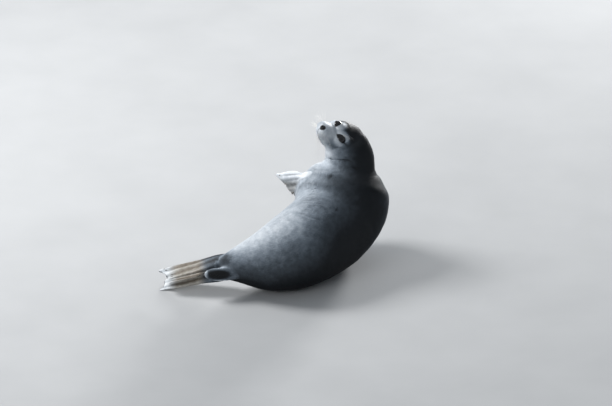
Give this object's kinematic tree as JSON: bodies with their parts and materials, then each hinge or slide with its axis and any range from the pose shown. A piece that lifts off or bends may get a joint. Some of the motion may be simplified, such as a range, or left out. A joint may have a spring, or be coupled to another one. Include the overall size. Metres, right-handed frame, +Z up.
{
  "type": "baikal seal",
  "caption": "Life-size still model of a young freshwater seal lying on its side, curled, with its head turned back over its shoulder.",
  "frame": {"origin": "middle of the bounding box on the floor", "axes": "+Z up from the floor; +X from the hind flippers to the chest, where the seal bends; -Y the way its back faces"},
  "size_m": [0.9202, 0.6938, 0.5672],
  "materials": {
    "coat": "short dense fur that lies flat, silver grey on the flank and belly and nearly black along the back",
    "coat_dark": "short dense dark grey fur of the head and neck, lighter on the muzzle and throat",
    "fore_skin": "thin pale short fur over a webbed hand",
    "hind_skin": "thin brownish fur over the webbed feet and the tail, slightly shiny",
    "eye": "wet glossy black eyeball",
    "claw": "dark horn with a soft shine"
  },
  "bodies": {
    "root": {"head": "coat_dark", "neck": "coat_dark", "chest": "coat", "abdomen": "coat", "hips": "coat", "tail": "hind_skin", "eye_left": "eye", "eye_right": "eye", "fore_flipper_left": "fore_skin", "fore_flipper_left_claw_1": "claw", "fore_flipper_left_claw_2": "claw", "fore_flipper_left_claw_3": "claw", "fore_flipper_left_claw_4": "claw", "fore_flipper_left_claw_5": "claw", "fore_flipper_right": "fore_skin", "fore_flipper_right_claw_1": "claw", "fore_flipper_right_claw_2": "claw", "fore_flipper_right_claw_3": "claw", "fore_flipper_right_claw_4": "claw", "fore_flipper_right_claw_5": "claw", "hind_flipper_left": "hind_skin", "hind_flipper_left_claw_1": "claw", "hind_flipper_left_claw_2": "claw", "hind_flipper_left_claw_3": "claw", "hind_flipper_left_claw_4": "claw", "hind_flipper_left_claw_5": "claw", "hind_flipper_right": "hind_skin", "hind_flipper_right_claw_1": "claw", "hind_flipper_right_claw_2": "claw", "hind_flipper_right_claw_3": "claw", "hind_flipper_right_claw_4": "claw", "hind_flipper_right_claw_5": "claw"}
  },
  "joints": []
}
